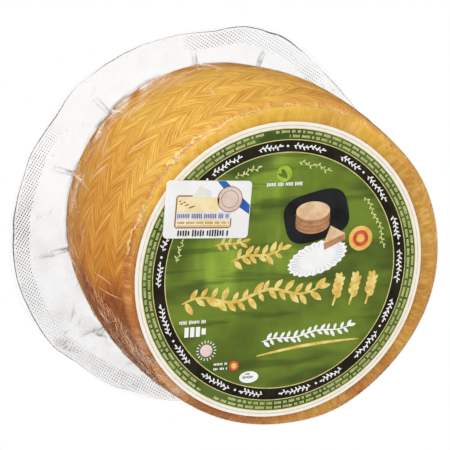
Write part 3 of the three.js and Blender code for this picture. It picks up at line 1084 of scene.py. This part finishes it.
class Ink:
    """Flat printed shapes of one colour, as thin closed prisms on a paper's top."""

    def __init__(self, name, material, top, layer):
        self.name, self.material = name, material
        self.low = top + INK_GAP
        self.high = top + INK_STEP + INK_STEP * layer
        self.drawn = 0
        self.points, self.faces = [], []

    def next_high(self):
        """The top of the next shape: a hair off its neighbours', so that no two coincide."""
        self.drawn += 1
        return self.high + HAIR * (self.drawn % HAIRS)

    def polygon(self, outline):
        """A filled outline, given anticlockwise."""
        outline = [tuple(p) for p in outline]
        count, first = len(outline), len(self.points)
        high = self.next_high()
        self.points += [(x, y, self.low) for x, y in outline] + [(x, y, high) for x, y in outline]
        for a, b, c in tessellate_polygon([[Vector((x, y, 0)) for x, y in outline]]):
            turned = (outline[b][0] - outline[a][0]) * (outline[c][1] - outline[a][1])
            turned -= (outline[b][1] - outline[a][1]) * (outline[c][0] - outline[a][0])
            a, b, c = (a, b, c) if turned > 0 else (a, c, b)
            self.faces.append([first + count + a, first + count + b, first + count + c])
            self.faces.append([first + c, first + b, first + a])
        for k in range(count):
            n = (k + 1) % count
            self.faces.append([first + k, first + n, first + count + n, first + count + k])

    def ellipse(self, x, y, rx, ry, turn=0.0, sides=48, scallop=0.0, scallops=1):
        outline = []
        for k in range(sides):
            a = TURN * k / sides
            grow = 1 + scallop * math.cos(scallops * a)
            u, v = rx * grow * math.cos(a), ry * grow * math.sin(a)
            outline.append(beside((x, y), u, v, heading(turn)))
        self.polygon(outline)

    def bar(self, x, y, length, height, turn=0.0):
        """A bar centred on a place."""
        corners = [(-0.5, -0.5), (0.5, -0.5), (0.5, 0.5), (-0.5, 0.5)]
        self.polygon([beside((x, y), u * length, v * height, heading(turn)) for u, v in corners])

    def section(self, inner, outer, high):
        """A cross-section, upright on the paper between two places."""
        for (x, y), z in ((inner, self.low), (outer, self.low), (outer, high), (inner, high)):
            self.points.append((x, y, z))

    def join(self, first, after):
        """Faces between two cross-sections, given by their first points."""
        for side in range(4):
            n = (side + 1) % 4
            self.faces.append([first + side, after + side, after + n, first + n])

    def annulus(self, centre, inner, outer, sides=180):
        first = len(self.points)
        for k in range(sides):
            a = TURN * k / sides
            self.section(round_place(centre, inner, a), round_place(centre, outer, a), self.high)
        for k in range(sides):
            self.join(first + 4 * k, first + 4 * ((k + 1) % sides))

    def stroke(self, path, widths):
        """A brush stroke along a path."""
        path = np.asarray(path, float)
        along = np.gradient(path, axis=0)
        along /= np.maximum(np.linalg.norm(along, axis=1, keepdims=True), 1e-9)
        side = np.stack([-along[:, 1], along[:, 0]], -1) * np.asarray(widths)[:, None] / 2
        first = len(self.points)
        last = first + 4 * (len(path) - 1)
        high = self.next_high() + STROKE_HAIR
        for p, q in zip(path - side, path + side):
            self.section(p, q, high)
        for a in range(first, last, 4):
            self.join(a, a + 4)
        self.faces.append([first, first + 3, first + 2, first + 1])
        self.faces.append([last, last + 1, last + 2, last + 3])

    def make(self, slot):
        make_piece(self.name, self.points, self.faces, self.material, smooth=False)


def mix_inks(prefix, top, table):
    """An ink for each row of a table: two tones, the scale of their drift, and the layer."""
    inks = {}
    for name, (first, second, scale, layer) in table.items():
        inks[name] = Ink(f"{prefix}_{name}", ink_material(f"ink_{name}", first, second, scale), top, layer)
    return inks


LEAF_STEPS = 7


def leaf(ink, place, along, up, length, lean, plump=0.2):
    """A pointed leaf from a place on a stem."""
    share = np.arange(LEAF_STEPS + 1) / LEAF_STEPS
    bow = plump * length * np.sin(math.pi * share) ** 0.8
    edge = [(s * length, -b) for s, b in zip(share, bow)]
    edge += [(s * length, b) for s, b in zip(share[-2:0:-1], bow[-2:0:-1])]
    ink.polygon([place(*beside((along, up), x, y, heading(lean))) for x, y in edge])


def sprig(ink, place, length, leaves, size, pen, sway, turns, seed):
    """A swaying stem with leaves on both sides. Place maps lengths along and up on to the paper."""
    rng = np.random.default_rng(seed)
    share = np.linspace(0, 1, 10 * turns + 14)
    stem = [place(length * s, sway * math.sin(TURN * turns * s)) for s in share]
    ink.stroke(stem, pen * (0.35 + 0.65 * np.sin(math.pi * share) ** 0.5))
    for k in range(leaves):
        at = (k + 0.6) / (leaves + 0.4)
        lean = rng.uniform(0.7, 1.15) * (1 if k % 2 else -1)
        up = sway * math.sin(TURN * turns * at)
        leaf(ink, place, length * at, up, size * rng.uniform(0.8, 1.15), lean)
    leaf(ink, place, length * 0.985, 0, size, 0.1)


def line_place(start, end):
    """Lengths along and up from a line on the paper."""
    run = np.array(end, float) - np.array(start, float)
    way = run / math.hypot(*run)
    return lambda along, up: beside(start, along, up, way)


def ring_place(radius, degrees):
    return round_place((LABEL_X, LABEL_Y), radius, math.radians(degrees))


def ring_line(radius, first):
    """Lengths along, clockwise, and outwards from a place on one of the label's circles."""
    return lambda along, up: ring_place(radius + up, first - math.degrees(along / radius))


RING_TICK = 0.24
RING_GAP = 0.2


def small_print(ink, radius, first, last, height, seed):
    """A row of tiny upright ticks in groups round the label."""
    rng = np.random.default_rng(seed)
    at, left = first, 0
    while at < last:
        if left == 0:
            left = int(rng.integers(2, 9))
            at += math.degrees(0.7 / radius)
            continue
        tall = height * rng.uniform(0.7, 1.0)
        ink.bar(*ring_place(radius, at), RING_TICK, tall, math.radians(at) - math.pi / 2)
        at += math.degrees((RING_TICK + RING_GAP) / radius)
        left -= 1


def ticks_line(ink, start, end, height, seed, tick=0.34, gap=0.22):
    """A straight row of such ticks."""
    rng = np.random.default_rng(seed)
    run = np.array(end, float) - np.array(start, float)
    length = math.hypot(*run)
    turn = math.atan2(run[1], run[0])
    at, left = 0.0, int(rng.integers(3, 8))
    while at < length:
        if left == 0:
            left = int(rng.integers(3, 8))
            at += 0.6
            continue
        x, y = np.array(start) + run * at / length
        ink.bar(x, y, tick, height * rng.uniform(0.7, 1.0), turn)
        at += tick + gap
        left -= 1


LABEL_INKS = {
    "ring": ((70, 90, 26), (98, 118, 44), 90, 1),
    "black": ((32, 27, 14), (46, 40, 22), 160, 2),
    "line": ((214, 196, 112), (236, 224, 156), 260, 3),
    "gold": ((226, 182, 70), (248, 226, 140), 300, 3),
    "white": ((251, 250, 247), (255, 255, 254), 200, 4),
    "pale": ((202, 212, 122), (228, 232, 164), 200, 4),
    "slate": ((24, 24, 27), (40, 39, 42), 120, 5),
    "cream": ((226, 184, 138), (240, 208, 168), 300, 6),
    "rust": ((182, 128, 84), (204, 152, 104), 300, 6),
    "bark": ((140, 88, 52), (158, 104, 64), 300, 7),
    "pleat": ((206, 210, 222), (222, 224, 232), 200, 5),
    "amber": ((236, 180, 78), (246, 206, 112), 260, 5),
    "red": ((206, 74, 44), (224, 98, 62), 260, 6),
    "lime": ((150, 184, 40), (176, 206, 64), 260, 5),
    "leaf": ((84, 112, 30), (100, 128, 40), 260, 7),
    "blush": ((236, 204, 196), (246, 222, 214), 260, 5),
    "grey": ((108, 110, 104), (130, 132, 126), 260, 6),
}
FIELD_RADIUS = 50.0
GREEN_RING = (46.4, FIELD_RADIUS)
BLACK_BAND = (42.1, 46.1)
FINE_LINES = [(41.8, 42.1), (46.15, 46.4), (FIELD_RADIUS, 50.2), (51.1, 51.3)]
GARLAND_RADIUS = 44.1
FIELD_EDGE = 38.4

# Rows of ticks round the label: radius, first and last degrees, and seed.
TICK_ROWS = [(49.1, -118, 96, 1), (47.5, -112, 90, 2), (49.1, 100, 236, 3), (47.5, 104, 232, 4)]


def print_rings(ink):
    """The field, its rings, the rows of fine ticks and the black band's garland."""
    centre = (LABEL_X, LABEL_Y)
    ink.field.ellipse(*centre, FIELD_RADIUS, FIELD_RADIUS, sides=180)
    ink.ring.annulus(centre, *GREEN_RING)
    ink.black.annulus(centre, *BLACK_BAND)
    for edges in FINE_LINES:
        ink.line.annulus(centre, *edges)
    for radius, first, last, seed in TICK_ROWS:
        small_print(ink.pale, radius, first, last, 1.0, seed)
    for group in range(9):
        middle = 88 + 40 * group
        sprig(ink.white, ring_line(GARLAND_RADIUS, middle + 16), 8.0, 10, 1.35, 0.3, 0.25, 1, group)
        ink.white.ellipse(*ring_place(GARLAND_RADIUS, middle + 2.2), 0.42, 0.42, sides=12)
        sprig(ink.white, ring_line(GARLAND_RADIUS, middle - 0.5), 11.2, 14, 1.3, 0.3, 0.25, 2, 40 + group)
    for first, last, count in ((119, 105, 10), (84, 66, 12), (41, 11, 20), (172, 161, 8)):
        length = math.radians(first - last) * FIELD_EDGE
        sprig(ink.pale, ring_line(FIELD_EDGE, first), length, count, 1.25, 0.26, 0.4, 2, count)


# Long sprigs: the line's ends, length, leaves, leaf size, pen, sway, turns and seed.
GOLD_SPRIGS = [
    ((-38.0, -10.4), (13.0, -7.2), 50.0, 26, 5.0, 1.1, 1.5, 2, 5),
    ((-27.0, 9.4), (-17.0, 10.6), 10.0, 7, 3.0, 0.7, 0.4, 1, 6),
    ((-21.0, 3.6), (-1.5, 7.4), 18.5, 12, 4.2, 0.9, 0.8, 1, 7),
]
WHITE_SPRIG = ((-8.5, -25.8), (25.0, -21.9), 33.0, 26, 2.9, 0.55, 0.5, 2, 8)
EARS = (18.6, 24.8, 31.0)


def print_sprigs(ink):
    """Sprigs of leaves, three ears of wheat and a swoosh."""
    for start, end, *shape in GOLD_SPRIGS:
        sprig(ink.gold, line_place(start, end), *shape)
    for x in EARS:
        ear = line_place((x - 1.0, -14.4), (x + 1.2, -3.2))
        ink.gold.stroke([ear(0, 0.3), ear(4, 0), ear(9.6, 0)], (0.7, 0.8, 0.5))
        for k in range(8):
            leaf(ink.gold, ear, 2.8 + 0.95 * k, 0, 3.0, 0.66 if k % 2 else -0.66, 0.27)
        leaf(ink.gold, ear, 9.6, 0, 2.8, 0.0, 0.27)
    start, end, *shape = WHITE_SPRIG
    sprig(ink.white, line_place(start, end), *shape)
    share = np.linspace(0, 1, 24)
    swoosh = np.stack([-10 + 38 * share, -30.8 + 3.8 * share + 0.9 * np.sin(math.pi * share)], -1)
    ink.gold.stroke(swoosh, 0.25 + 0.85 * np.sin(math.pi * share) ** 0.6)


# Straight rows of ticks: their ends, height and seed.
WHITE_TICKS = [((-25.4, -32.7), (-20.4, -32.7), 0.9, 10), ((-25.4, -34.4), (-20.8, -34.4), 0.9, 11)]
WHITE_TICKS += [((-9.2, 29.9), (3.8, 29.9), 1.4, 12)]
GREY_TICKS = [((-14.6, -38.2), (-10.6, -38.2), 0.9, 13), ((-13.6, -37.0), (-11.6, -37.0), 0.6, 14)]

# The middles of the roundels.
TARGET = (26.3, 9.5)
SMALL_TARGET = (-18.2, -33.7)
LEAF_ROUNDEL = (-3.3, 33.5)
SUN_ROUNDEL = (-28.5, -27.5)


def print_small_marks(ink):
    """Short rows of ticks, four bars, a plain oval and a ring of ticks."""
    ticks_line(ink.white, (-38.4, -17.0), (-29.0, -17.0), 1.3, 9)
    for k in range(4):
        ink.white.bar(-35.9 + 2.05 * k, -20.5, 1.45, 3.5 if k < 3 else 2.2)
    for row in WHITE_TICKS:
        ticks_line(ink.white, *row)
    ink.white.ellipse(-12.5, -38.2, 3.5, 2.1)
    for k in range(18):
        a = TURN * k / 18
        ink.white.bar(*round_place(SUN_ROUNDEL, 3.2, a), 0.3, 0.9, a - math.pi / 2)
    for row in GREY_TICKS:
        ticks_line(ink.grey, *row)


# The still life: middles and half sizes, ways along as cosine and sine, and the wedge's corners.
DOILY = (10.6, 3.2)
DOILY_SIZE = (11.0, 5.6)
PLEATS_WAY = (0.95, 0.31)
DOILY_PLEATS = 32
SLATE = (9.4, 18.2)
SLATE_SIZE = (11.8, 8.6)
SLATE_WAY = (0.97, 0.24)
CHEESE_X = 8.0
CHEESE_FOOT = 15.2
CHEESE_EDGE = 20.0
CHEESE_SIZE = (6.2, 3.2)
WEDGE_TOP = [(12.6, 8.2), (20.4, 11.6), (14.8, 14.6)]
WEDGE_SIDE = [(12.6, 8.2), (12.9, 6.0), (20.6, 9.4), (20.4, 11.6)]


def print_still_life(ink):
    """A pleated doily, a slate, a cheese and its wedge."""
    ink.white.ellipse(*DOILY, *DOILY_SIZE, 0.32, 144, 0.04, 24)
    for k in range(DOILY_PLEATS):
        cos, sin = heading(TURN * k / DOILY_PLEATS)
        x, y = beside((0, 0), DOILY_SIZE[0] * cos, DOILY_SIZE[1] * sin, PLEATS_WAY)
        fold = [(DOILY[0] + share * x, DOILY[1] + share * y) for share in (0.62, 0.9)]
        ink.pleat.stroke(fold, (0.12, 0.36))

    def squarish(value):
        return math.copysign(abs(value) ** 0.6, value)

    outline = []
    for k in range(64):
        cos, sin = heading(TURN * k / 64)
        u, v = SLATE_SIZE[0] * squarish(cos), SLATE_SIZE[1] * squarish(sin)
        outline.append(beside(SLATE, u, v, SLATE_WAY))
    ink.slate.polygon(outline)

    def front_arc(y):
        ways = [heading(math.pi * (1 + k / 20)) for k in range(21)]
        return [(CHEESE_X + CHEESE_SIZE[0] * cos, y + CHEESE_SIZE[1] * sin) for cos, sin in ways]

    low_arc = front_arc(CHEESE_FOOT)
    ink.rust.polygon(low_arc + front_arc(CHEESE_EDGE)[::-1])
    ink.cream.ellipse(CHEESE_X, CHEESE_EDGE + 0.1, CHEESE_SIZE[0], CHEESE_SIZE[1] + 0.1)
    for x, y in low_arc[1:-1]:
        for level in range(3):
            ink.bark.bar(x, y + 0.9 + 1.5 * level, 1.1, 0.2, 0.7 if level % 2 else -0.7)
    ink.cream.polygon(WEDGE_TOP)
    ink.rust.polygon(WEDGE_SIDE)


def print_roundels(ink):
    """Plain roundels, some with a ring or two leaves."""
    ink.amber.ellipse(*TARGET, 4.4, 4.4, sides=96, scallop=0.015, scallops=24)
    ink.amber.ellipse(*SMALL_TARGET, 1.0, 1.1)
    ink.red.annulus(TARGET, 1.5, 2.9, 48)
    ink.red.annulus(SMALL_TARGET, 1.05, 1.8, 36)
    ink.lime.ellipse(*LEAF_ROUNDEL, 2.8, 2.8)
    ink.leaf.ellipse(*LEAF_ROUNDEL, 0.8, 1.9, 0.5)
    ink.leaf.ellipse(LEAF_ROUNDEL[0] - 1.0, LEAF_ROUNDEL[1] - 0.5, 0.5, 1.3, 1.1)
    ink.blush.ellipse(*SUN_ROUNDEL, 2.2, 2.2)


def make_label():
    """The round label: rings, a green field, sprigs, ears of wheat, small marks and a still life."""
    dress("round_label", ink_material("label_paper", (255, 246, 238), (255, 252, 248), 120))
    field = Ink("print_field", foliage_material(), label_top, 0)
    ink = SimpleNamespace(field=field, **mix_inks("print", label_top, LABEL_INKS))
    for part in (print_rings, print_sprigs, print_small_marks, print_still_life, print_roundels):
        part(ink)
    for shapes in vars(ink).values():
        shapes.make("label_print")


STICKER_X = -30.4
STICKER_Y = 22.4
STICKER_TURN = math.radians(-2.5)
STICKER_INKS = {
    "pastel": ((240, 238, 214), (228, 232, 240), 160, 0),
    "yellow": ((248, 224, 156), (253, 238, 196), 200, 1),
    "lilac": ((226, 222, 236), (238, 234, 244), 200, 1),
    "brown": ((150, 92, 52), (172, 112, 66), 300, 2),
    "beige": ((222, 198, 182), (234, 214, 202), 200, 1),
    "blue": ((22, 88, 176), (38, 106, 194), 200, 0),
    "indigo": ((66, 52, 96), (84, 70, 112), 200, 3),
    "dark": ((18, 22, 42), (32, 36, 54), 200, 3),
}
ROUNDEL = (7.6, 3.6)

# The brown frame's line, open on the right, and the blue stripe's outline.
FRAME_LINE = [(-5.8, 4.7), (-10.7, 4.7), (-11.2, 4.2), (-11.2, -5.7)]
FRAME_LINE += [(-10.7, -6.2), (8.0, -6.2), (8.5, -5.7), (8.5, -3.0)]
STRIPE = [(2.6, 9.85), (10.6, 1.2), (14.9, -1.6), (14.9, 1.6), (5.6, 9.85)]

# Small pastel petals by place and size, and small brown ovals by place and length.
PETALS = [(-2.6, 6.2, 1.5), (-3.8, 3.4, 1.9), (-0.4, 5.4, 1.3), (-1.6, 1.4, 1.6)]
OVALS = [(-10.0, 2.9, 0.8), (-9.4, 2.0, 1.0), (-8.4, 2.5, 0.9), (-7.6, 1.6, 1.6), (-5.8, 0.9, 2.4)]


def on_sticker(u, v):
    """A place on the sticker from its own centre, as the sticker lies."""
    return beside((STICKER_X, STICKER_Y), u, v, heading(STICKER_TURN))


def make_sticker():
    """The control sticker: a white card with a framed pale field, a stripe and plain bars."""
    dress("control_sticker", ink_material("sticker_card", (246, 244, 243), (252, 250, 249), 90))
    ink = SimpleNamespace(**mix_inks("sticker", sticker_top, STICKER_INKS))

    def box(shapes, left, low, right, high):
        corners = ((left, low), (right, low), (right, high), (left, high))
        shapes.polygon([on_sticker(*corner) for corner in corners])

    for u, v, size in PETALS:
        ink.pastel.ellipse(*on_sticker(u, v), size, 1.3 * size, 0.6, 24, 0.12, 5)
    box(ink.yellow, -11.1, -0.8, 3.8, 4.2)
    box(ink.yellow, -11.1, -6.1, 8.4, -3.6)
    box(ink.lilac, -11.1, -3.6, 8.4, -0.8)
    ink.brown.stroke([on_sticker(*place) for place in FRAME_LINE], np.full(len(FRAME_LINE), 0.42))
    ink.brown.stroke([on_sticker(-10.4, -5.6), on_sticker(7.8, -5.6)], (0.16, 0.16))
    ink.brown.annulus(on_sticker(*ROUNDEL), 4.25, 4.5, 60)
    ink.brown.annulus(on_sticker(*ROUNDEL), 2.9, 3.05, 48)
    ticks_line(ink.brown, on_sticker(-10.2, -4.5), on_sticker(7.8, -4.5), 0.8, 17, 0.22, 0.2)
    for u, v, length in OVALS:
        ink.brown.ellipse(*on_sticker(u, v), length / 2, 0.22, 0.3, 20)
    ink.beige.ellipse(*on_sticker(*ROUNDEL), 4.3, 4.3)
    ink.blue.polygon([on_sticker(*place) for place in STRIPE])
    ticks_line(ink.indigo, on_sticker(-10.4, -2.2), on_sticker(8.0, -2.2), 1.7, 15, 0.3, 0.34)
    ticks_line(ink.dark, on_sticker(-9.8, -8.1), on_sticker(7.8, -8.1), 2.3, 16, 0.5, 0.42)
    for shapes in vars(ink).values():
        shapes.make("sticker_card")


# Studio


HORIZON_LIGHT = 2.5
ZENITH_LIGHT = 0.5
REFLECTED_LIGHT = 0.06
FLOOR_GREY = 0.85
FLOOR_REACH = 4000.0
FLOOR_HEIGHT = -0.3
KEY_DIRECTION = Vector((-0.40, 0.80, 0.45))
KEY_SIZE = 0.8
KEY_POWER = 4.3
FILL_DIRECTION = Vector((-0.9, -0.15, 0.4))
FILL_SIZE = 0.4
FILL_POWER = 0.38
LIGHT_DISTANCE = 1.2
CAMERA_PLACE = (-0.2521, 0.1897, 0.6873)
CAMERA_RIGHT = Vector((0.9391, 0.0449, 0.3405))
CAMERA_BACK = Vector((-0.3402, 0.2579, 0.9043))
CAMERA_LENS = 160
SENSOR_WIDTH = 36


def make_floor():
    """A plain white floor that is white to the camera and passes on only part of its light."""
    m = Material("studio_white")
    path = m.add("LightPath").outputs
    paper = m.diffuse((FLOOR_GREY, FLOOR_GREY, FLOOR_GREY, 1))
    unseen = m.blend(path["Is Glossy Ray"], paper, m.glow(REFLECTED_LIGHT))
    material = m.show(m.blend(path["Is Camera Ray"], unseen, m.glow(1.0)))
    square = ((-1, -1), (1, -1), (1, 1), (-1, 1))
    corners = [(x * FLOOR_REACH, y * FLOOR_REACH, FLOOR_HEIGHT) for x, y in square]
    build_mesh("floor", corners, [[0, 1, 2, 3]], material, smooth=False)


def make_world():
    """A white sky, brightest at the horizon, plain white to the camera and dim in reflections."""
    world = bpy.data.worlds.new("studio")
    bpy.context.scene.world = world
    world.use_nodes = True
    m = Nodes(world.node_tree)

    def between(value, low, high):
        inputs = {"Value": value, "To Min": low, "To Max": high}
        return m.add("MapRange", inputs).outputs[0]

    direction = m.add("TexCoord").outputs["Generated"]
    upward = m.add("SeparateXYZ", {0: direction}).outputs["Z"]
    glow = m.math("POWER", between(upward, 1.0, 0.0), 2.0)
    path = m.add("LightPath").outputs
    sky = between(glow, ZENITH_LIGHT, HORIZON_LIGHT)
    unseen = between(path["Is Glossy Ray"], sky, REFLECTED_LIGHT)
    background = world.node_tree.nodes["Background"]
    m.put(background.inputs["Color"], (1, 1, 1, 1))
    m.put(background.inputs["Strength"], between(path["Is Camera Ray"], unseen, 1.0))


def make_light(name, direction, size, power, glossy=True):
    light = bpy.data.lights.new(name, "AREA")
    light.shape = "DISK"
    light.size = size
    light.energy = power
    lamp = bpy.data.objects.new(name, light)
    centre = Vector((0, 0, WHEEL_TOP / 2 * MM))
    lamp.location = centre + direction.normalized() * LIGHT_DISTANCE
    lamp.rotation_euler = (-direction).to_track_quat("-Z", "Y").to_euler()
    lamp.visible_glossy = glossy
    bpy.context.scene.collection.objects.link(lamp)


def make_camera():
    """The photo's view: a long lens, looking down on the label from its upper left, turned a little."""
    camera = bpy.data.cameras.new("camera")
    camera.lens = CAMERA_LENS
    camera.sensor_width = SENSOR_WIDTH
    rig = bpy.data.objects.new("camera", camera)
    back = CAMERA_BACK.normalized()
    right = (CAMERA_RIGHT - back * CAMERA_RIGHT.dot(back)).normalized()
    up = back.cross(right)
    rig.matrix_world = Matrix.Translation(CAMERA_PLACE) @ Matrix((right, up, back)).transposed().to_4x4()
    bpy.context.scene.collection.objects.link(rig)
    bpy.context.scene.camera = rig


make_camera()
make_world()
make_floor()
make_light("key", KEY_DIRECTION, KEY_SIZE, KEY_POWER)
make_light("fill", FILL_DIRECTION, FILL_SIZE, FILL_POWER, glossy=False)
make_cheese()
film_sheet = make_film()
make_creases(film_sheet)
make_face_line(film_sheet)
make_knurl(film_sheet)
make_rim_bead(film_sheet)
dress("film_backing", backing_material())
make_label()
make_sticker()

view = bpy.context.scene.view_settings
view.view_transform = "Standard"
view.look = "None"
